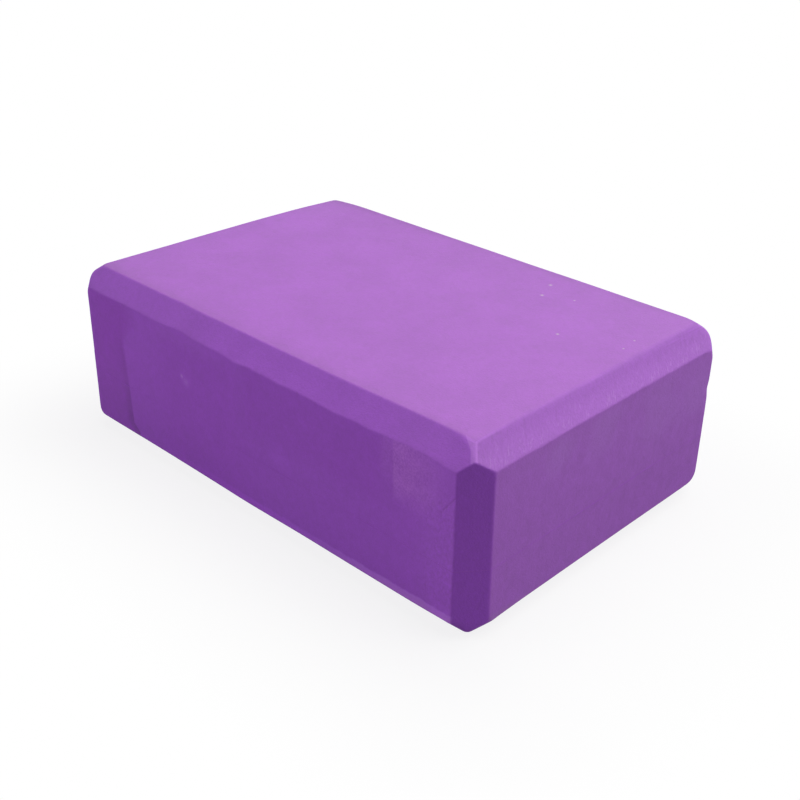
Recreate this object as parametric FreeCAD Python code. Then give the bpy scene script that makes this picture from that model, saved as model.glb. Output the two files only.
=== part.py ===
"""Foam yoga block: two foam sheets, glued face to face and cut to one brick with bevelled edges.

The block lies on its largest face. The origin is the centre of that face, +X runs along the
length, +Y along the width and +Z up. All lengths are in millimetres.
"""
import FreeCAD, Part
import os

# Overall size of the brick
block_length = 228.6
block_width = 152.4
block_height = 76.2

# Legs of the 45 degree bevels, measured along either face from the edge that was cut away
long_edge_bevel = 8.0
short_edge_bevel = 8.5
upright_edge_bevel = 9.1

# Soft rounding left on every ridge between two faces
ridge_round = 3.0

# The two sheets: the upper one takes what the lower one and the glue leave of the height
lower_sheet_thickness = 29.7
glue_film_thickness = 0.2

# How far the slab that cuts out a sheet reaches past the brick's sides
slab_overrun = 5.0


def bevelled_rectangle(half_u, half_v, bevel):
    """Corners (u, v) of a rectangle about the origin with all four corners cut off at 45 degrees."""
    return [
        (bevel - half_u, -half_v),
        (half_u - bevel, -half_v),
        (half_u, bevel - half_v),
        (half_u, half_v - bevel),
        (half_u - bevel, half_v),
        (bevel - half_u, half_v),
        (-half_u, half_v - bevel),
        (-half_u, bevel - half_v),
    ]


def prism(points, run):
    """Solid swept by a closed outline of points along the vector run."""
    outline = Part.makePolygon(points + points[:1])
    return Part.Face(outline).extrude(run)


def bevelled_brick():
    """The whole brick: what is common to its three bevelled outlines, with its ridges rounded."""
    half_length = block_length / 2
    half_width = block_width / 2
    half_height = block_height / 2
    vector = FreeCAD.Vector

    plan_outline = bevelled_rectangle(half_length, half_width, upright_edge_bevel)
    plan = prism([vector(x, y, 0) for x, y in plan_outline], vector(0, 0, block_height))

    side_outline = bevelled_rectangle(half_length, half_height, short_edge_bevel)
    side_points = [vector(x, -half_width, half_height + z) for x, z in side_outline]
    side = prism(side_points, vector(0, block_width, 0))

    end_outline = bevelled_rectangle(half_width, half_height, long_edge_bevel)
    end_points = [vector(-half_length, y, half_height + z) for y, z in end_outline]
    end = prism(end_points, vector(block_length, 0, 0))

    brick = plan.common(side).common(end).Solids[0]
    return brick.makeFillet(ridge_round, brick.Edges).Solids[0]


def level_slice(brick, bottom, thickness):
    """The layer of the brick that starts at the height bottom and is thickness deep."""
    slab_length = block_length + 2 * slab_overrun
    slab_width = block_width + 2 * slab_overrun
    corner = FreeCAD.Vector(-slab_length / 2, -slab_width / 2, bottom)
    slab = Part.makeBox(slab_length, slab_width, thickness, corner)
    return brick.common(slab).Solids[0]


brick = bevelled_brick()
glue_top = lower_sheet_thickness + glue_film_thickness
layers = {
    "lower_foam_sheet": (0, lower_sheet_thickness),
    "glue_film": (lower_sheet_thickness, glue_film_thickness),
    "upper_foam_sheet": (glue_top, block_height - glue_top),
}

os.makedirs("parts", exist_ok=True)
for node, (bottom, thickness) in layers.items():
    layer = level_slice(brick, bottom, thickness)
    layer.exportStep(f"parts/{node}.step")
    print(f"{node}: {layer.Volume:.1f} mm3, valid {layer.isValid()}")
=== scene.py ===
"""Foam yoga block lying on a pale studio floor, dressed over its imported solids. Lengths are in metres."""
import math
import bpy
import numpy as np
from mathutils import Matrix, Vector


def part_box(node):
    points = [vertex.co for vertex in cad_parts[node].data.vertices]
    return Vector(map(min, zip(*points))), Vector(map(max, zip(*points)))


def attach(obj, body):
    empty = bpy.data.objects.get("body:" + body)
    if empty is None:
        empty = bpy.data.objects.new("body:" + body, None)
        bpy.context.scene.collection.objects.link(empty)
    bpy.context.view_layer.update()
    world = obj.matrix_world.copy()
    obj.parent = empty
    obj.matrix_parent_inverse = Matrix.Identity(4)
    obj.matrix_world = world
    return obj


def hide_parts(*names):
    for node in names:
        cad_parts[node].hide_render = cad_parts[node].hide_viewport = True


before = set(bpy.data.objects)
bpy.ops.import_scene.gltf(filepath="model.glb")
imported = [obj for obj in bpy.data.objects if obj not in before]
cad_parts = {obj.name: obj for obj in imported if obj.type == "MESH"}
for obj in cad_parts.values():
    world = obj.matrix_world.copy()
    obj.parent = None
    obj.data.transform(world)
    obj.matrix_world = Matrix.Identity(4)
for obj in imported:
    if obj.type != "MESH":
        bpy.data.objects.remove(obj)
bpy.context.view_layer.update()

from types import SimpleNamespace

# The two foam sheets are closed-cell EVA foam, glued face to face and then sawn to one brick.
# All twelve edges are bevelled by hand against a cutter, which leaves the bevels slightly wavy,
# their ridges soft, the corners unevenly blunted and a grain of opened cells along the cut.

mm = 0.001

lower_low, lower_high = (np.array(corner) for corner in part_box("lower_foam_sheet"))
upper_low, upper_high = (np.array(corner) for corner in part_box("upper_foam_sheet"))
block_middle = (lower_low + upper_high) / 2
half_size = (upper_high - lower_low) / 2

# Legs of the bevels from the edge that was cut away: along the flat face and down the side, and for
# the upright bevels along the front and along the end
long_bevel_legs = (8.5 * mm, 7.4 * mm)
short_bevel_legs = (8.1 * mm, 7.8 * mm)
upright_bevel_legs = (8.2 * mm, 9.5 * mm)

# How softly ridges are rounded: crisp at most faces, soft from the flat faces to the right end's bevels,
# and over what difference in depth of two bevels the one passes into the other
crisp_ridge = 0.24 * mm
soft_ridge = 1.4 * mm
ridge_passage = 4 * mm

# How softly the bevels run together at each corner: [left or right, front or back, low or high],
# first the long with the short bevel, then both with the upright one, and what is added to the first
# right under the flat faces, down to flat_corner_depth
tip_round = np.full((2, 2, 2), 1.5 * mm)
tip_round[1, 0, 1] = 0.8 * mm
tip_round[1, 1, 1] = 4.2 * mm
tip_round[0, 0, 1] = 2.6 * mm
tip_round[1, 1, 0] = 4.0 * mm
tip_round[0, 0, 0] = 3.0 * mm
post_round = tip_round.copy()
post_round[1, 0, 1] = 0.3 * mm
flat_corner_round = np.zeros((2, 2, 2))
flat_corner_round[1, 0, 1] = 6.8 * mm
flat_corner_round[1, 1, 1] = 1.5 * mm
flat_corner_depth = np.full((2, 2, 2), 1.5 * mm)
flat_corner_depth[1, 0, 1] = 3.6 * mm

# Waver of the bevels' cut, unevenness of the faces with its least and most as shares of its usual depth,
# how the lengths of single waves spread about the stated one, and how far the ends lean in at the top
waver_length = 26 * mm
ripple_length = 7 * mm
ripple_share = 0.25
long_waver = 0.07 * mm
short_waver = 0.06 * mm
upright_waver = 0.04 * mm
face_unevenness = 0.05 * mm
face_unevenness_length = 45 * mm
face_unevenness_shares = (0.1, 2)
wave_length_shares = (0.7, 1.5)
end_lean = 0.45 * mm

# Where the cutter bit deeper or shallower: along the front's upper bevel at its lower and at its upper
# ridge, along the front's lower bevel, along the upper ridge of the right end's upper bevel and along
# the right end's lower bevel. Each bite is a place, a reach and a depth.
cutter_bites = np.array([
    (30, 45, 0.26), (-42, 7, -0.72), (-6.5, 5, 0.7), (18, 6, 0.34),
    (47, 7.5, 0.57), (66, 4.5, 0.3), (87, 11, -0.75), (101.5, 3.5, 0.55),
]) * mm
upper_ridge_bites = np.array([(92, 36, 0.8), (-34, 6, -0.15), (-50, 4, 0.25)]) * mm
front_foot_bites = np.array([(-5, 22, -0.42), (104, 11, 0.35)]) * mm
end_ridge_bites = np.array([(-75, 45, 0.5), (-72, 10, 0.25), (20, 30, -0.25)]) * mm
end_foot_bites = np.array([(-68, 12, -0.45)]) * mm

# How much shallower, per length, the left end's upper bevel gets towards the front, and where it is right
left_skew = 0.011
left_skew_middle = -12 * mm

# How far the top sags at its left back corner, and how far that reaches along the length and the width
corner_sag = 1.3 * mm
sag_reach = np.array([25, 50]) * mm

# How much wider the front's upright bevels grow along the ends, from this height down to the floor
upright_spread = 1.3 * mm
upright_spread_from = 60 * mm - half_size[2]

# A nick in the ridge beside the right end
nick_height = 50.3 * mm
nick_past_ridge = 1 * mm
nick_place = np.array([
    half_size[0],
    half_size[1] - upright_bevel_legs[1] + nick_past_ridge,
    nick_height - half_size[2],
])
nick_depth = 0.35 * mm
nick_radius = 2.6 * mm

# Spacing of the surface's points: fine within reach of the bevels, wider on the flats
bevel_reach = 15 * mm
fine_step = 0.5 * mm
wide_step = 1.1 * mm

# How far a ray from the core is searched, as a share of the way to its lattice point, and how often the
# stretch that is left is halved
ray_share = 1.1
halvings = 26

# How far from a ridge the planes on both sides of it still share a point's finish, and the angle
# between two facets over which the edge between them is drawn sharp
share_reach = 0.35 * mm
sharp_angle = math.radians(50)


def plane_waves(points, length, count, seed):
    """Gentle unevenness of about unit size: the sum of count cosine waves through space, each of
    about the given length in its own direction and phase, divided by the root of half their count."""
    rng = np.random.default_rng(seed)
    directions = rng.normal(size=(count, 3))
    directions /= np.linalg.norm(directions, axis=1, keepdims=True)
    wave_numbers = 2 * math.pi / (length * rng.uniform(*wave_length_shares, (count, 1)))
    phases = rng.uniform(0, 2 * math.pi, count)
    waves = np.cos(points @ (directions * wave_numbers).T + phases)
    return waves.sum(axis=1) / math.sqrt(count / 2)


def evenly(start, stop, step):
    """Values from start to stop, both included, spaced as near to step as they divide evenly."""
    return np.linspace(start, stop, max(2, round(abs(stop - start) / step) + 1))


def lattice_lines(half):
    """Places of the lattice lines along one side of the block, from -half to half: fine_step apart
    within bevel_reach of either edge and wide_step apart between."""
    edge = evenly(half - bevel_reach, half, fine_step)
    flat = evenly(bevel_reach - half, half - bevel_reach, wide_step)
    return np.concatenate([-edge[::-1], flat[1:-1], edge])


def soft_max(first, second, softness):
    """The larger of two depths, raised where they differ by less than softness, which rounds the ridge
    between two planes: plus (softness - difference) squared, over four times softness."""
    overlap = np.clip(softness - np.abs(first - second), 0, None)
    return np.maximum(first, second) + overlap ** 2 / (4 * softness)


def bevel_depth(first, second, legs):
    """How far points lie outside a bevel, from their depths under its two faces: first over its leg
    plus second over its leg plus 1, over the root of the sum of 1 over each leg squared."""
    return (first / legs[0] + second / legs[1] + 1) / np.hypot(1 / legs[0], 1 / legs[1])


def bitten(places, bites):
    """How much too deep a bevel is cut at places along its edge: the sum of its bites, each a bell."""
    place, reach, depth = bites.T
    return (depth * np.exp(-((places[:, None] - place) / reach) ** 2)).sum(axis=1)


def cut_waver(lattice):
    """How much too deep the bevels are cut at each point: the long ones at the flat and at the side, the
    short ones likewise, and the upright ones. In the upper half that is the sum of long and short waves,
    the bites along the front and the right end and the skew of the left end, and in the lower half only
    the bites."""
    x, y, z = lattice.T
    waves = plane_waves(lattice, waver_length, count=24, seed=3)
    waves += ripple_share * plane_waves(lattice, ripple_length, count=40, seed=4)
    waves *= z > 0
    side_bites = np.where(z > 0, bitten(x, cutter_bites), bitten(x, front_foot_bites)) * (y < 0)
    flat_bites = bitten(x, upper_ridge_bites) * (y < 0) * (z > 0)
    skew = left_skew * (y - left_skew_middle) * (x < 0) * (z > 0)
    long_at_side = long_waver * waves + side_bites
    short_at_flat = skew + bitten(y, end_ridge_bites) * (x > 0) * (z > 0)
    short_at_side = short_waver * waves + skew + bitten(y, end_foot_bites) * (x > 0) * (z < 0)
    return flat_bites, long_at_side, short_at_flat, short_at_side, upright_waver * waves


def plane_depths(points, waver):
    """How far points lie outside the block's planes, negative inside: its end, side and flat faces, then
    its long, short and upright bevels. The waver of a cut runs evenly from its value at the flat face to
    that at its other ridge, and the front's upright bevels grow evenly wider along the ends downwards."""
    end, side, flat = (np.abs(points) - half_size).T
    below = np.clip(-flat / long_bevel_legs[1], 0, 1)
    drop = (upright_spread_from - points[:, 2]) / (upright_spread_from + half_size[2])
    end_leg = upright_bevel_legs[1] + upright_spread * np.clip(drop, 0, 1) * (points[:, 1] < 0)
    return np.stack([
        end,
        side,
        flat,
        bevel_depth(side, flat, long_bevel_legs) + waver[0] * (1 - below) + waver[1] * below,
        bevel_depth(end, flat, short_bevel_legs) + waver[2] * (1 - below) + waver[3] * below,
        bevel_depth(end, side, (upright_bevel_legs[0], end_leg)) + waver[4],
    ])


def block_depth(points, waver, octant):
    """How far points lie outside the whole block: the soft maximum of its planes, pair by pair. The
    long and short bevels meet first, rounder right under the flat face, then the upright bevel, the
    flat face with a ridge that is softer along the right end, and last the end and the side."""
    end, side, flat, long_cut, short_cut, upright_cut = plane_depths(points, waver)
    near_flat = np.clip(1 + flat / flat_corner_depth[octant], 0, 1)
    tip = tip_round[octant] + flat_corner_round[octant] * near_flat ** 2
    bevels = soft_max(soft_max(long_cut, short_cut, tip), upright_cut, post_round[octant])
    short_share = np.clip((short_cut - long_cut) / ridge_passage + 0.5, 0, 1) * octant[0]
    depth = soft_max(bevels, flat, crisp_ridge + (soft_ridge - crisp_ridge) * short_share)
    return soft_max(soft_max(depth, end, crisp_ridge), side, crisp_ridge)


def block_surface(lattice, dents):
    """Points of the bevelled block over the points of a plain box, and each plane's share in them. A
    point is found by halving along the ray from the block's core through its lattice point. Dents push
    the surface inwards. A plane's share falls from 1 to 0 as it sinks share_reach under the outermost
    one, and a point's shares add up to 1. Last, the ends lean in evenly from floor to top, and the
    upper half sags towards the left back corner with the square of the nearness to it and of the
    height."""
    octant = tuple((lattice > 0).astype(int).T)
    waver = cut_waver(lattice)
    core = np.clip(lattice, bevel_reach - half_size, half_size - bevel_reach)
    inside = np.zeros(len(lattice))
    outside = np.full(len(lattice), ray_share)
    for _ in range(halvings):
        middle = (inside + outside) / 2
        points = core + middle[:, None] * (lattice - core)
        beyond = block_depth(points, waver, octant) + dents > 0
        outside = np.where(beyond, middle, outside)
        inside = np.where(beyond, inside, middle)
    planes = plane_depths(points, waver)
    shares = np.clip(1 + (planes - planes.max(axis=0)) / share_reach, 0, 1)
    shares /= shares.sum(axis=0)
    rise = (points[:, 2] / half_size[2] + 1) / 2
    points[:, 0] *= 1 - rise * end_lean / half_size[0]
    sag_place = np.array([-1, 1]) * (half_size[:2] - long_bevel_legs[0])
    sag_share = np.clip(1 - np.linalg.norm((points[:, :2] - sag_place) / sag_reach, axis=1), 0, 1)
    points[:, 2] -= corner_sag * (sag_share * np.clip(points[:, 2] / half_size[2], 0, 1)) ** 2
    return points, shares


def sheet_dents(lattice):
    """How deep the surface is pushed in at each point: the unevenness of the faces, which is its usual
    depth times 1 plus half a wave, kept under the plain box, and the nick as a bell of its radius."""
    waves = plane_waves(lattice, face_unevenness_length, count=24, seed=5)
    uneven = face_unevenness * np.clip(1 + waves / 2, *face_unevenness_shares)
    nick = nick_depth * np.exp(-((lattice - nick_place) ** 2).sum(axis=1) / nick_radius ** 2)
    return uneven + nick


def closed_mesh(name, points, quads, caps):
    """Mesh object of points given from the block's middle, an array of quads and some flat polygons."""
    corners = np.concatenate([quads.ravel(), *caps])
    sizes = np.concatenate([np.full(len(quads), 4), [len(cap) for cap in caps]])
    mesh = bpy.data.meshes.new(name)
    mesh.vertices.add(len(points))
    mesh.vertices.foreach_set("co", (points + block_middle).ravel())
    mesh.loops.add(len(corners))
    mesh.loops.foreach_set("vertex_index", corners)
    mesh.polygons.add(len(sizes))
    mesh.polygons.foreach_set("loop_start", np.cumsum(sizes) - sizes)
    mesh.update(calc_edges=True)
    mesh.validate()
    mesh.shade_smooth()
    mesh.set_sharp_from_angle(angle=sharp_angle)
    piece = bpy.data.objects.new(name, mesh)
    bpy.context.scene.collection.objects.link(piece)
    return piece


def ring_walls(rings):
    """Quads between each ring of point numbers and the next, which lies under it, facing outwards
    where the rings run counter-clockwise seen from above."""
    upper, lower = rings[:-1], rings[1:]
    quads = [lower, np.roll(lower, -1, axis=1), np.roll(upper, -1, axis=1), upper]
    return np.stack(quads, axis=-1).reshape(-1, 4)


def outline_ring(numbers):
    """The border of a grid of point numbers as one closed ring, counter-clockwise seen from above."""
    return np.concatenate([numbers[:, 0], numbers[-1, 1:], numbers[-2::-1, -1], numbers[0, -2:0:-1]])


def foam_sheet(name, outer, seam):
    """One sheet as a closed mesh. A grid covers its outer flat face, which lies above if outer is 1
    and below if it is -1. Rows of rings run on from the grid's border down the sides to the height
    seam, and one polygon closes the glued face. The points carry their planes' shares for the finish,
    of the end, side and flat faces as face and of the long, short and upright bevels as cut."""
    along, across = np.meshgrid(lattice_lines(half_size[0]), lattice_lines(half_size[1]), indexing="ij")
    numbers = np.arange(along.size).reshape(along.shape)
    face = np.stack([along.ravel(), across.ravel(), np.full(along.size, outer * half_size[2])], axis=1)
    border = outline_ring(numbers)

    shoulder = outer * (half_size[2] - bevel_reach)
    heights = np.concatenate([
        evenly(outer * half_size[2], shoulder, fine_step)[1:],
        evenly(shoulder, seam, wide_step)[1:],
    ])
    sides = np.tile(face[border], (len(heights), 1))
    sides[:, 2] = np.repeat(heights, len(border))
    rings = np.vstack([border, along.size + np.arange(len(sides)).reshape(len(heights), -1)])

    lattice = np.vstack([face, sides])
    points, shares = block_surface(lattice, sheet_dents(lattice))
    grid = [numbers[:-1, :-1], numbers[1:, :-1], numbers[1:, 1:], numbers[:-1, 1:]]
    quads = np.vstack([np.stack(grid, axis=-1).reshape(-1, 4), ring_walls(rings)])
    glued_face = rings[-1][::-1]
    if outer < 0:
        quads = quads[:, ::-1]
        glued_face = glued_face[::-1]
    piece = closed_mesh(name, points, quads, [glued_face])

    for attribute, first in [("face", 0), ("cut", 3)]:
        planes = piece.data.attributes.new(attribute, "FLOAT_VECTOR", "POINT")
        planes.data.foreach_set("vector", shares[first:first + 3].T.ravel())
    return piece


class Shade:
    """One output of a material's nodes. Arithmetic on it adds Math nodes, and node() adds any other."""

    def __init__(self, tree, socket=None):
        self.tree = tree
        self.socket = socket

    def node(self, kind, settings=None, inputs=None, output=0):
        """A new node of that type. Its settings are set first, then each input, found by its name or
        number, is linked or given its value; a colour is three numbers. Returns the named output."""
        made = self.tree.nodes.new("ShaderNode" + kind)
        for name, value in (settings or {}).items():
            setattr(made, name, value)
        for name, value in (inputs or {}).items():
            socket = self.find(made.inputs, name)
            if isinstance(value, Shade):
                self.tree.links.new(value.socket, socket)
            else:
                socket.default_value = (*value, 1) if socket.type == "RGBA" else value
        return Shade(self.tree, self.find(made.outputs, output) if made.outputs else None)

    def find(self, sockets, name):
        """The socket of that number, or the one in use of that name."""
        if isinstance(name, int):
            return sockets[name]
        return next(socket for socket in sockets if socket.name == name and socket.enabled)

    def math(self, operation, first, second=0.0):
        return self.node("Math", {"operation": operation}, {0: first, 1: second})

    def __add__(self, other):
        return self.math("ADD", self, other)

    def __radd__(self, other):
        return self.math("ADD", other, self)

    def __sub__(self, other):
        return self.math("SUBTRACT", self, other)

    def __rsub__(self, other):
        return self.math("SUBTRACT", other, self)

    def __mul__(self, other):
        return self.math("MULTIPLY", self, other)

    def __rmul__(self, other):
        return self.math("MULTIPLY", other, self)

    def __truediv__(self, other):
        return self.math("DIVIDE", self, other)

    def __abs__(self):
        return self.math("ABSOLUTE", self)


def new_finish(name):
    """An empty node material of that name and a Shade to build it with."""
    material = bpy.data.materials.new(name)
    material.use_nodes = True
    material.node_tree.nodes.clear()
    return material, Shade(material.node_tree)


def smooth(value, low, high):
    """0 where value is under low, 1 over high, and a smooth step between; low may be the higher one."""
    edges = {"Value": value, "From Min": low, "From Max": high}
    return value.node("MapRange", {"interpolation_type": "SMOOTHSTEP"}, edges)


def speckle(place, size, detail=2.0, roughness=0.5):
    """Noise of about that grain size, from about -1 to 1, read at a place in millimetres."""
    settings = {"Vector": place, "Scale": 1 / size, "Detail": detail, "Roughness": roughness}
    return place.node("TexNoise", None, settings) * 4 - 2


def stretched(place, along, across):
    """A place on a surface as a vector, from its distances along and across a grain."""
    return place.node("CombineXYZ", None, {"X": along, "Y": across})


def bell(first, second, middle, radius):
    """1 at the point middle of the plane of two values, falling off as a bell of that radius."""
    first_off = (first - middle[0]) / radius
    second_off = (second - middle[1]) / radius
    return first.math("EXPONENT", -1 * (first_off * first_off + second_off * second_off))


def round_marks(first, second, marks):
    """The sum of soft round marks in the plane of two values, each with a middle, radius and strength."""
    return sum(bell(first, second, middle, radius) * strength for middle, radius, strength in marks)


def blended(share, under, over):
    """The colour under with that share of the colour over."""
    return share.node("Mix", {"data_type": "RGBA"}, {"Factor": share, "A": under, "B": over}, "Result")


def scratch(first, second, start, end, width):
    """1 along a straight scratch between two points of the plane of two values, falling off as a bell
    of that width to its sides and softly at its ends."""
    run = (end[0] - start[0], end[1] - start[1])
    length = math.hypot(*run)
    along = ((first - start[0]) * run[0] + (second - start[1]) * run[1]) / length
    aside = ((first - start[0]) * run[1] - (second - start[1]) * run[0]) / (length * width)
    ends = smooth(along, -0.1 * length, 0.1 * length) * smooth(along, 1.1 * length, 0.9 * length)
    return first.math("EXPONENT", -1 * aside * aside) * ends


# Colours of the foam: its moulded skin and its sawn cells; its cells on the ends and the bare foam, greyed
# with dust and with painted sheen; the front and the strip by its left end, painted deeper, partly as
# painted shade; the upright bevels, painted bluer and darker as painted shade; and then the dust that also
# lays on painted light, the painted highlight on ridges and the pit, the haze, the blooming patches with
# painted sheen on the right end, and the lint that lies on it
skin_colour = (0.41, 0.121, 0.58)
sawn_colour = (0.40, 0.100, 0.655)
dusty_sheen_colour = (0.395, 0.118, 0.605)
shaded_deep_colour = (0.385, 0.055, 0.625)
shaded_post_colour = (0.367, 0.085, 0.66)
dust_and_light_colour = (0.32, 0.27, 0.30)
rubbed_colour = (0.52, 0.24, 0.66)
haze_colour = (0.72, 0.37, 0.54)
bloom_colour = (0.40, 0.33, 0.55)
lint_colour = (0.66, 0.60, 0.62)

# The finish reads its places in millimetres: along the length and the width and up from the floor
half_length, half_width, half_height = (half_size / mm).tolist()
long_legs = [leg / mm for leg in long_bevel_legs]
short_legs = [leg / mm for leg in short_bevel_legs]

# Half the length halfway down the upper short bevels, where the ends have leaned in
bevel_half_length = half_length - end_lean / mm * (1 - short_legs[1] / (4 * half_height))

# Grain sizes in the foam, from clouds of colour to single cells, and how high its bumps stand
cloud_size = 48
blotch_size = 20
dark_blotch_size = 10
mottle_size = 7
freckle_size = 2.4
grain_size = 0.8
cell_size = 0.45
bump_height = 0.16 * mm


def millimetres(shade):
    """A point's place on the object in millimetres, as a vector."""
    place = shade.node("TexCoord", output="Object")
    return place.node("VectorMath", {"operation": "SCALE"}, {"Vector": place, "Scale": 1 / mm})


def three_parts(vector):
    """The X, Y and Z of a vector."""
    return [vector.node("SeparateXYZ", None, {"Vector": vector}, axis) for axis in "XYZ"]


def foam_places(shade):
    """What the finish reads at a point of the foam: its place in millimetres, its level above or under
    the middle, each plane's share in it, and noises of several grains."""
    at = SimpleNamespace(place=millimetres(shade))
    at.x, at.y, at.z = three_parts(at.place)
    at.level = abs(at.z - half_height)
    face = shade.node("Attribute", {"attribute_name": "face"}, None, "Vector")
    at.end, at.side, at.flat = three_parts(face)
    cut = shade.node("Attribute", {"attribute_name": "cut"}, None, "Vector")
    at.long_cut, at.short_cut, at.upright_cut = three_parts(cut)
    slanted = stretched(at.place, at.x * 0.5 + at.y + at.z * 0.7, at.x * 1.3 - at.y * 0.5)
    at.clouds = speckle(slanted, cloud_size, 3.0)
    at.mottle = speckle(at.place, mottle_size, 4.0, 0.7)
    at.freckles = speckle(at.place, freckle_size, 3.0, 0.6)
    at.grain = speckle(at.place, grain_size)
    at.saw_lines = speckle(stretched(at.place, (at.x + at.y) / 1.8, at.z / 14), 1)
    return at


# In the marks below, the numbers in smooth and bell are places in millimetres, unless it is a noise that
# is smoothed. A number that multiplies a mark is its strength: the share by which it changes the tone
# of the foam, or how much dust it adds.

# The skin on the flat faces: half its length and its width, its middle and how far its corners are
# rounded
skin_half_length = 109.2
skin_half_width = 69
skin_middle = -4
skin_corner = 12.0

# Specks of lint on the top, by length and width: middle, radius and strength
lint_specks = [
    ((98.4, 25.4), 0.35, 1),
    ((97.3, 34.3), 0.35, 1),
    ((58.3, 49.0), 0.35, 1),
    ((73.4, 17.8), 0.5, 1),
    ((45.7, 43.8), 0.6, 1),
    ((41.5, 55.0), 0.6, 1),
]


def flat_marks(at):
    """The flat faces' moulded skin. It ends in a soft line short of the right bevel and rounds off at the
    corners. It is blotched, with painted shade along its long edges, dull along its left edge, dusty
    towards the right, and has specks of lint on the top."""
    insets = {0: skin_half_length - abs(at.x - skin_middle), 1: skin_half_width - abs(at.y), 2: skin_corner}
    inset = at.place.node("Math", {"operation": "SMOOTH_MIN"}, insets)
    at.skin = at.flat * smooth(inset + at.mottle * 0.5, -1.6, 1.8)
    blotches = smooth(speckle(at.place, blotch_size, 6.0, 0.65), -0.7, 0.7) - 0.5
    dark_blotches = smooth(speckle(at.place, dark_blotch_size, 4.0), 0.5, 1.0)
    from_ridge = half_width - long_legs[0] - abs(at.y)
    # Painted shade along the long edges of the flat faces
    long_edge_shade = smooth(from_ridge + at.mottle * 0.6, 6, 1.5)
    long_edge_shade = long_edge_shade + smooth(from_ridge + at.mottle, 15, 2) * smooth(at.x, 0, -100) * 1.1
    long_edge_shade = long_edge_shade * smooth(at.x, 104, 84)
    left_edge = smooth(at.x + at.mottle * 2, -86, -103)
    dusty = smooth(at.x, -100, 110)
    tone = blotches * 0.085 - dark_blotches * 0.045 - long_edge_shade * 0.07 - left_edge * 0.02
    tone = at.flat * (tone + dusty * 0.04 - smooth(at.y, 30, 66) * 0.04)
    at.skin = at.skin * (1 - left_edge * 0.1)
    at.lint = at.flat * smooth(at.z, 60, 70) * round_marks(at.x, at.y, lint_specks)
    return tone, at.flat * (dusty * 0.065 + left_edge * 0.04)


def short_bevel_marks(at):
    """The short bevels and the bare foam up to the skin: dull, with thin lines along the upper ridge, and
    torn in pale streaks that run down the lower half. At the right they run on over the blunted tips of
    the long bevels, which are painted lighter where their rounding faces up, and the ridges there carry a
    painted highlight."""
    over_flat = at.level - half_height
    over_long = bevel_depth(abs(at.y) - half_width, over_flat, long_legs)
    over_short = bevel_depth(abs(at.x) - bevel_half_length, over_flat, short_legs)
    past_ridge = over_short - over_long
    tip_edge = past_ridge + smooth(at.level, 35.5, 38.5) * 1.6
    over_tip = at.long_cut * smooth(tip_edge, -1.6, -1.3) * smooth(at.x, -1, 1)
    at.short_cut = at.short_cut + over_tip
    at.long_cut = at.long_cut - over_tip

    down = abs(at.x) - at.level
    along = at.y + down * 0.53
    at.torn_fine = speckle(stretched(at.place, along / 0.9, down / 1.8), 1)
    torn_wide = speckle(stretched(at.place, along / 1.5, down / 7), 1)
    at.torn = at.short_cut * smooth(down, 69, 80)
    pale = smooth(torn_wide + at.torn_fine * 0.5, 0.2, 1.0) * at.torn
    pocked = smooth(torn_wide - at.torn_fine * 0.5, -0.2, -0.9) * at.short_cut * smooth(down, 81, 73)
    at.bare = at.short_cut + (at.flat - at.skin) * smooth(at.x, 98, 102)
    ridge_lines = speckle(stretched(at.place, at.y / 16, down / 0.8), 1) * smooth(down, 74, 70)
    ridge_lines = ridge_lines * (0.03 + smooth(at.y, 20, 60) * 0.06)
    # A painted highlight: a thin light line just past the ridge between the long and short bevels, and
    # along the top's ridge by the front corner
    beside_ridge = (past_ridge - 0.36) / 0.42
    at.rubbed = at.short_cut * at.place.math("EXPONENT", -1 * beside_ridge * beside_ridge)
    at.rubbed = at.rubbed + at.flat * at.short_cut * smooth(at.y, -48, -64) * 2

    tone = at.bare * (at.torn_fine * 0.045 - 0.025 + ridge_lines) + pale * 0.22 - pocked * 0.11
    tone = tone + at.torn * (0.11 + smooth(at.y, -38, -12) * 0.03 - smooth(at.y, 22, 50) * 0.06)
    dust = at.bare * 0.09 + at.torn * 0.04 + pale * 0.17 + over_tip * 0.05
    # The painted highlight and the tips' painted light lighten the tone
    return tone + at.rubbed * 0.3 + over_tip * 0.2, dust


# Dark places on the long bevels, by length and level: middle, radius and strength
long_bevel_shades = [((-38, 34), 9, 0.06), ((82, 34), 8, 0.06)]


def long_bevel_marks(at):
    """The long bevels: plain, dusty, with faint lines of the cutter, darker towards both ends and at two
    places, and paler along the lower middle."""
    cut_lines = speckle(stretched(at.place, at.x / 5 + at.z / 9, (abs(at.y) - at.level) / 0.9), 1)
    at.cut_lines = at.long_cut * cut_lines
    dark = smooth(at.x, 20, -95) * 0.065 + smooth(at.x, 0, -40) * 0.025 + smooth(at.x, -92, -106) * 0.05
    dark = dark + smooth(at.x, 62, 82) * 0.05 + round_marks(at.x, at.level, long_bevel_shades)
    pale = bell(at.x, at.level, (20, 31), 45) * smooth(at.level, 36, 32) * 0.04
    return at.long_cut * (cut_lines * 0.008 - 0.03 - dark + pale), at.long_cut * 0.065


# Pale spots on the front, and the pit in it with its shallow tail, by length and height: middle, radius
# and strength
pale_spots = [((17.7, 35.2), 5.0, 0.06), ((33.5, 56.8), 0.8, 0.06), ((-38.5, 50.0), 4.5, 0.08)]
pit_parts = [((-41.0, 49.4), 0.8, 1), ((-38.4, 47.6), 1.6, 0.45)]

# Where the scratch by the right end and the pale line along it start and end, by length and height
scratch_run = [(100.7, 52.0), (106.0, 59.1)]
pale_line_run = [(101.5, 51.4), (106.6, 58.3)]
scratch_width = 0.4


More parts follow.
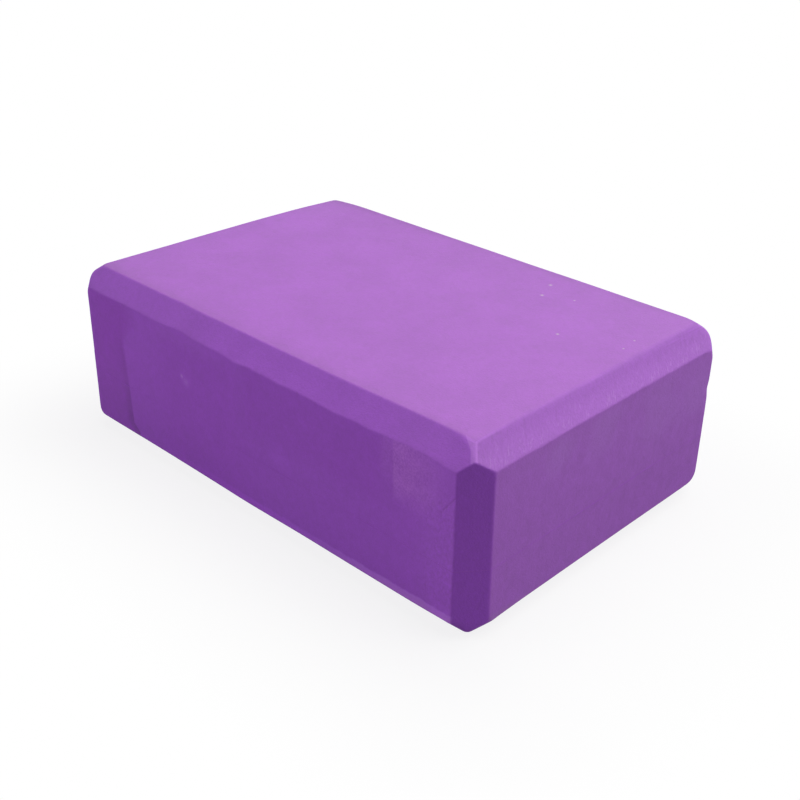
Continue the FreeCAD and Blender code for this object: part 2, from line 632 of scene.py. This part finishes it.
def front_strip(at):
    """The dull strip by the front's left end, 1 left of a crease and 0 right of it, and the painted shadow
    of the crease, which fades leftwards and upwards. The crease leans left going up, bends right at its
    foot and its head, and is blurred towards its head."""
    crease = -78.2 - at.z * 0.075 + smooth(at.z, 13, 9) * 3.5 + smooth(at.z, 50, 63) * 7
    blur = 0.5 + smooth(at.z, 28, 44) + smooth(at.z, 50, 62) * 6
    strip = smooth(at.x, crease + blur, crease - blur)
    crease_shadow = strip * smooth(at.x, crease - 7, crease - 1) * smooth(at.z, 70, 8)
    return strip, crease_shadow * (0.15 + smooth(at.z, 32, 15) * 0.05)


def front_haze(at):
    """The haze high up by the front's right end, about 1 at its strongest: it starts at an upright line
    with a faint fringe left of it, fades to the right and downwards, and is streaked and grainy."""
    height = at.z + at.mottle * 3
    haze = smooth(at.x, 76.8, 78.2) * smooth(at.x + at.mottle, 107, 84) * smooth(height, 42, 56)
    fringe = smooth(at.x, 70, 74) * smooth(at.x, 79, 77) * smooth(height, 48, 62)
    return (haze + fringe * 0.4) * (1 + at.saw_lines * 0.2 + at.mottle * 0.4 + at.grain * 0.7)


def front_foot_light(at):
    """1 on the front's foot, where light from the floor is painted on, under an uneven line that rises to
    the right, and 0 above.
    """
    line = 10.1 + smooth(at.x, 45, 62) * 0.3 + smooth(at.x, 75, 95) * 0.5 + at.mottle * 0.5
    return smooth(at.z, line + 0.8, line - 0.6)


def front_marks(at):
    """The front: a dull strip by the left end with a painted shadow along its crease, lighter beside it and
    under the bevel, a haze and wrinkles by the right end, painted light from the floor on its foot, a pit
    with a painted highlight, spots and a scratch."""
    x, z, mottle = at.x, at.z, at.mottle
    front = at.side * smooth(at.y, 1, -1)
    tone = smooth(x, -15, 45) * 0.04 - smooth(z, 34, 14) * smooth(x, 10, -50) * 0.055
    tone = tone + smooth(z + mottle, 60, 67) * (smooth(x, -64, -50) * 0.07 - smooth(x, -25, 0) * 0.045)
    tone = tone - smooth(z, 34, 46) * smooth(x, -6, 4) * smooth(x, 70, 60) * 0.02
    tone = tone - smooth(x, -20, -46) * 0.015

    # The crease's darkness is a painted shadow on the strip
    strip, crease = front_strip(at)
    beside = (1 - strip) * smooth(x + mottle * 3, -46, -64) * smooth(z + mottle * 3, 22, 50)
    tone = tone - strip * 0.085 - crease + beside * 0.035

    haze = front_haze(at)
    wrinkles = speckle(stretched(at.place, x / 1.1 + mottle, z / 1.9), 1, 3.0)
    at.wrinkles = front * wrinkles * smooth(x, 84, 100) * smooth(z, 6, 18) * smooth(z, 64, 48)
    tone = tone + haze * 0.12 + smooth(x, 76, 80) * 0.03 + smooth(x, 84, 98) * smooth(z, 14, 28) * 0.08

    # Painted light from the floor on the front's foot, brightest to the right and by the right end's foot
    foot_light = front_foot_light(at)
    tone = tone + foot_light * (0.04 + smooth(x, -70, 50) * 0.22 + smooth(x, 35, 80) * 0.33)
    tone = tone + smooth(x, 93, 99) * smooth(z, 15.5, 13.5) * 0.12
    at.haze = front * (haze + foot_light * smooth(x, 45, 85) * 0.5)

    # The pit is a real dent; its lighter tone and pale colour are a painted highlight
    at.pit = front * round_marks(x, z, pit_parts)
    at.scratch = front * scratch(x, z, *scratch_run, scratch_width)
    pale_line = scratch(x, z, *pale_line_run, scratch_width)
    tone = front * (tone + round_marks(x, z, pale_spots) + mottle * 0.02 + pale_line * 0.08)
    tone = tone - at.scratch * 0.14 + at.wrinkles * 0.15 + at.pit * 0.26

    # The front is painted deeper, most in the strip and towards the left: partly painted shade
    at.deep = strip * 0.5 + (1 - strip) * (smooth(x, 20, -20) * 0.2 - smooth(x, -45, -65) * 0.1)
    at.deep = front * (at.deep + smooth(x, -5, 5) * smooth(x, 76, 66) * smooth(z, 36, 48) * 0.15)
    dust = strip * smooth(z, 50, 30) * 0.03
    dust = dust + smooth(x, 84, 98) * (0.03 + smooth(z, 24, 32) * smooth(z, 50, 42) * 0.02)
    dust = dust + smooth(z + mottle, 60, 66) * smooth(x, -64, -50) * smooth(x, 0, -30) * 0.035
    # Dust colour on the foot, laid on as part of the painted light from the floor
    dust = dust + foot_light * smooth(x, 10, 80) * (0.24 + mottle * 0.1)
    return tone, front * dust


# Blooming patches with painted sheen on the right end, by width and height: middle, radius and strength
bloom_patches = [((-32, 60), 8, 1), ((-6, 59), 10, 1), ((31, 53), 15, 1), ((58, 51), 12, 1)]


def end_marks(at):
    """The right end: duller downwards, with a haze under the top and blooming patches, where the haze,
    the patches and the end's dust are partly painted sheen; with saw lines across the sheets, a darker
    lower sheet and a dusty foot by the near corner."""
    right_end = at.end * smooth(at.x, -1, 1)
    # The haze and the blooming patches under the top are partly painted sheen
    patches = smooth(round_marks(at.y, at.z, bloom_patches) + at.mottle * 0.3, 0.1, 1.0)
    at.bloom = right_end * patches * (1 + at.grain * 0.7)
    blotches = smooth(speckle(stretched(at.place, at.y / 5, at.z / 7), 1, 4.0, 0.65), -0.5, 0.5) - 0.5
    haze_sheen = smooth(at.z + at.mottle * 3, 38, 62) * smooth(at.z, 68.3, 66.5)
    tone = smooth(at.z, 30, 62) * 0.035 - smooth(at.z, 30.4, 29.4) * 0.015 + at.saw_lines * 0.014
    tone = tone - smooth(at.y, -60, 20) * smooth(at.z, 50, 24) * 0.045
    tone = tone + haze_sheen * 0.02 + (patches - 0.5) * 0.02 + blotches * 0.045
    # The end's dust, all over and more under the top, is partly painted sheen
    dust = 0.04 - smooth(at.y, -20, 30) * smooth(at.z, 30, 18) * 0.02
    dust = dust + haze_sheen * 0.02 + smooth(at.z, 58, 64) * smooth(at.y, -62, -50) * 0.02
    dust = dust + smooth(at.z, 10.5, 8.5) * smooth(at.y, -38, -60) * 0.12
    return right_end * tone, right_end * dust


def foam_finish():
    """Purple closed-cell foam: a moulded skin on the flat faces, sawn cells elsewhere. Its colour is
    cloudy and mottled. The marks of each face and bevel change its tone and add dust, and its cells,
    torn streaks, lines and pits stand out as bumps."""
    material, shade = new_finish("foam")
    at = foam_places(shade)
    surfaces = [flat_marks, short_bevel_marks, long_bevel_marks, front_marks, end_marks]
    tones, dusts_and_light = zip(*[surface_marks(at) for surface_marks in surfaces])
    tone = 1 + at.clouds * 0.018 + at.mottle * 0.027 + at.freckles * 0.04 + at.grain * 0.06 + sum(tones)

    # The ends and bare foam are greyed with painted sheen, the front is painted deeper as partly painted
    # shade, and the upright bevels bluer and darker as painted shade
    colour = blended(at.end + at.bare, sawn_colour, dusty_sheen_colour)
    colour = blended(at.deep, colour, shaded_deep_colour)
    colour = blended(at.upright_cut, colour, shaded_post_colour)
    colour = blended(at.skin, colour, skin_colour)
    colour = shade.node("VectorMath", {"operation": "SCALE"}, {"Vector": colour, "Scale": tone})
    # The dust colour is partly painted: light from the floor on the front's foot, and sheen on the right
    # end
    colour = blended(sum(dusts_and_light), colour, dust_and_light_colour)
    # The haze colour also carries part of the painted light on the front's foot
    colour = blended(at.haze * 0.13, colour, haze_colour)
    colour = blended(at.bloom * 0.07, colour, bloom_colour)
    # Painted highlights on the pit and along the ridges
    colour = blended(at.pit * 0.6 + at.rubbed * 0.3, colour, rubbed_colour)
    colour = blended(at.lint * 0.8, colour, lint_colour)

    cell_places = {"Vector": at.place, "Scale": 1 / cell_size}
    cells = shade.node("TexVoronoi", {"feature": "F1"}, cell_places, "Distance")
    height = cells * 0.5 + at.grain * 0.25 + at.mottle * 0.15 + at.torn_fine * at.torn * 0.7
    height = height + at.cut_lines * 0.03 + at.end * at.saw_lines * 0.05
    height = height + at.wrinkles * 0.6 - at.scratch * 1.5 - at.pit
    foam = shade.node("BsdfPrincipled", None, {
        "Base Color": colour,
        "Roughness": 0.82 - at.skin * 0.32 + at.mottle * 0.03 + at.grain * 0.03,
        "Normal": shade.node("Bump", None, {"Strength": 0.5, "Distance": bump_height, "Height": height}),
        "Specular IOR Level": 0.5,
    })
    shade.node("OutputMaterial", None, {"Surface": foam})
    return material


upper_seam = upper_low[2] - block_middle[2]
lower_seam = lower_high[2] - block_middle[2]
foam_material = foam_finish()
for node, outer, seam in [("upper_foam_sheet", 1, upper_seam), ("lower_foam_sheet", -1, lower_seam)]:
    sheet = foam_sheet(node.replace("_sheet", ""), outer, seam)
    sheet.data.materials.append(foam_material)
    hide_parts(node)
    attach(sheet, "root")

# The glue film is contact glue, rolled on both sheets and pressed together before the brick was sawn.
# It fills the thin gap between them and ends a hair inside the foam, where the saw drew it back.

glue_inset = 0.02 * mm
glue_waver = 0.004 * mm
glue_waver_length = 6 * mm
glue_colour = (0.384, 0.095, 0.62)

# Sizes of the smears and bubbles in the glue in millimetres, and how high the bubbles stand
smear_size = 4
bubble_size = 0.25
bubble_height = 0.05 * mm


def glue_film():
    """The film as a closed mesh: the block's outline at the glue line, drawn in by glue_inset with
    a slight waver, as two rings at the heights of the sheets' faces, with a wall and two flat caps."""
    along, across = lattice_lines(half_size[0]), lattice_lines(half_size[1])
    grid = np.stack(np.meshgrid(along, across, indexing="ij"), axis=-1)
    outline = outline_ring(np.arange(len(along) * len(across)).reshape(len(along), -1))
    ring = grid.reshape(-1, 2)[outline]
    lattice = np.column_stack([np.tile(ring, (2, 1)), np.repeat([upper_seam, lower_seam], len(ring))])
    waves = plane_waves(lattice * [1, 1, 0], glue_waver_length, count=24, seed=6)
    inset = glue_inset + glue_waver * waves
    points, _ = block_surface(lattice, inset)
    rings = np.arange(len(lattice)).reshape(2, -1)
    return closed_mesh("glue_line", points, ring_walls(rings), [rings[0], rings[1][::-1]])


def glue_finish():
    """Dried contact glue, as dull as the foam and tinted to nearly its colour, smeared and with small
    bubbles."""
    material, shade = new_finish("glue")
    place = millimetres(shade)
    smear = speckle(place, smear_size, 3.0)
    bubble_places = {"Vector": place, "Scale": 1 / bubble_size}
    bubbles = shade.node("TexVoronoi", {"feature": "F1"}, bubble_places, "Distance")
    tone = 1 + smear * 0.06
    colour = shade.node("VectorMath", {"operation": "SCALE"}, {"Vector": glue_colour, "Scale": tone})
    glue = shade.node("BsdfPrincipled", None, {
        "Base Color": colour,
        "Roughness": 0.8 + smear * 0.05,
        "Normal": shade.node("Bump", None, {"Strength": 0.4, "Distance": bubble_height, "Height": bubbles}),
        "Specular IOR Level": 0.4,
    })
    shade.node("OutputMaterial", None, {"Surface": glue})
    return material


glue = glue_film()
glue.data.materials.append(glue_finish())
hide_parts("glue_film")
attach(glue, "root")

# The studio: a pale floor that runs out into white, a large softbox overhead, one behind to the
# right and one in front to the left, and the camera at the photograph's viewing angle.

# The floor's size, how pale its paper is and how much light it throws back, the share of plain white in
# it at the block, and how far from the block it is all white
floor_size = 8.0
floor_paleness = 0.9
floor_bounce = 0.5
white_share_near = 0.85
white_at = 0.09

# Light from all around, apart from the softboxes, and the softboxes: where each stands, seen from the
# block, how far away, how wide, and its power and colour
ambient_light = (0.0, 0.0, 0.0)
softboxes = {
    "overhead": {
        "aim": (0.32, 0.37, 1.0), "away": 1.5, "size": 2.0, "power": 29.9, "colour": (1, 1, 1),
    },
    "right_back": {
        "aim": (0.8, 0.6, 0.35), "away": 1.5, "size": 1.0, "power": 1.8, "colour": (1, 1, 1),
    },
    "left_front": {
        "aim": (-0.75, -0.7, 0.3), "away": 1.5, "size": 1.0, "power": 8.9, "colour": (0.88, 0.815, 1.0),
    },
}

# The camera: the point it looks at, where it stands from there, its lens and film width in millimetres,
# and the nearest it sees
camera_target = np.array([19.59, -12.36, 38.1]) * mm
camera_azimuth = math.radians(43.467)
camera_elevation = math.radians(28.087)
camera_roll = math.radians(1.182)
camera_distance = 478.0 * mm
camera_lens = 52.511
camera_film = 36.0
camera_near = 10 * mm


def seen_directly(shade):
    """1 for rays from the camera, a mirror or glass, which see the white backdrop, and 0 for others."""
    rays = [shade.node("LightPath", output=kind) for kind in
            ("Is Camera Ray", "Is Glossy Ray", "Is Transmission Ray")]
    return rays[0].math("MAXIMUM", rays[0].math("MAXIMUM", rays[0], rays[1]), rays[2])


def floor_finish():
    """Pale paper: lit and shaded near the block, running out into white away from it. Light that it
    throws back on the block is dimmer than it looks, as from a floor covered with grey felt."""
    material, shade = new_finish("floor")
    place = shade.node("TexCoord", output="Object")
    outward = place.node("VectorMath", {"operation": "ABSOLUTE"}, {"Vector": place})
    outward = place.node("VectorMath", {"operation": "SUBTRACT"}, {0: outward, 1: (*half_size[:2], 0)})
    outward = place.node("VectorMath", {"operation": "MAXIMUM"}, {0: outward, 1: (0, 0, 0)})
    away = place.node("VectorMath", {"operation": "LENGTH"}, {"Vector": outward}, "Value")
    white_share = white_share_near + (1 - white_share_near) * smooth(away, 0, white_at)
    paper = shade.node("BsdfDiffuse", None, {"Color": [floor_paleness] * 3})
    white = shade.node("Emission", None, {"Color": (1, 1, 1), "Strength": 1.0})
    felt = shade.node("BsdfDiffuse", None, {"Color": [floor_bounce] * 3})
    seen = shade.node("MixShader", None, {0: white_share, 1: paper, 2: white})
    surface = shade.node("MixShader", None, {0: seen_directly(shade), 1: felt, 2: seen})
    shade.node("OutputMaterial", None, {"Surface": surface})
    return material


floor_mesh = bpy.data.meshes.new("floor")
floor_corners = np.array([(-1, -1, 0), (1, -1, 0), (1, 1, 0), (-1, 1, 0)]) * floor_size / 2
floor_mesh.from_pydata(floor_corners.tolist(), [], [range(4)])
floor = bpy.data.objects.new("floor", floor_mesh)
floor.data.materials.append(floor_finish())
bpy.context.scene.collection.objects.link(floor)

world = bpy.data.worlds.new("studio")
world.use_nodes = True
world.node_tree.nodes.clear()
sky = Shade(world.node_tree)
backdrop = sky.node("Background", None, {"Color": (1, 1, 1), "Strength": 1.0})
ambient = sky.node("Background", None, {"Color": ambient_light, "Strength": 1.0})
around = sky.node("MixShader", None, {0: seen_directly(sky), 1: ambient, 2: backdrop})
sky.node("OutputWorld", None, {"Surface": around})
bpy.context.scene.world = world


def standing(right, up, back, place):
    """Matrix of an object at a place whose own X, Y and Z point right, up and back."""
    return Matrix(np.vstack([np.column_stack([right, up, back, place]), [0, 0, 0, 1]]))


for name, box in softboxes.items():
    back = np.array(box["aim"]) / np.linalg.norm(box["aim"])
    right = np.cross([0, 0, 1], back)
    right /= np.linalg.norm(right)
    lamp = bpy.data.lights.new(name, "AREA")
    lamp.shape = "SQUARE"
    lamp.size = box["size"]
    lamp.energy = box["power"]
    lamp.color = box["colour"]
    softbox = bpy.data.objects.new(name, lamp)
    softbox_place = block_middle + back * box["away"]
    softbox.matrix_world = standing(right, np.cross(back, right), back, softbox_place)
    softbox.visible_camera = False
    bpy.context.scene.collection.objects.link(softbox)

flat_run = math.cos(camera_elevation)
camera_back = np.array([
    math.sin(camera_azimuth) * flat_run,
    -math.cos(camera_azimuth) * flat_run,
    math.sin(camera_elevation),
])
level = np.array([math.cos(camera_azimuth), math.sin(camera_azimuth), 0])
upright = np.cross(camera_back, level)
camera_right = level * math.cos(camera_roll) + upright * math.sin(camera_roll)
camera_up = upright * math.cos(camera_roll) - level * math.sin(camera_roll)
camera = bpy.data.objects.new("camera", bpy.data.cameras.new("camera"))
camera.data.lens = camera_lens
camera.data.sensor_width = camera_film
camera.data.clip_start = camera_near
camera_place = camera_target + camera_back * camera_distance
camera.matrix_world = standing(camera_right, camera_up, camera_back, camera_place)
bpy.context.scene.collection.objects.link(camera)
bpy.context.scene.camera = camera
bpy.context.scene.view_settings.view_transform = "Standard"
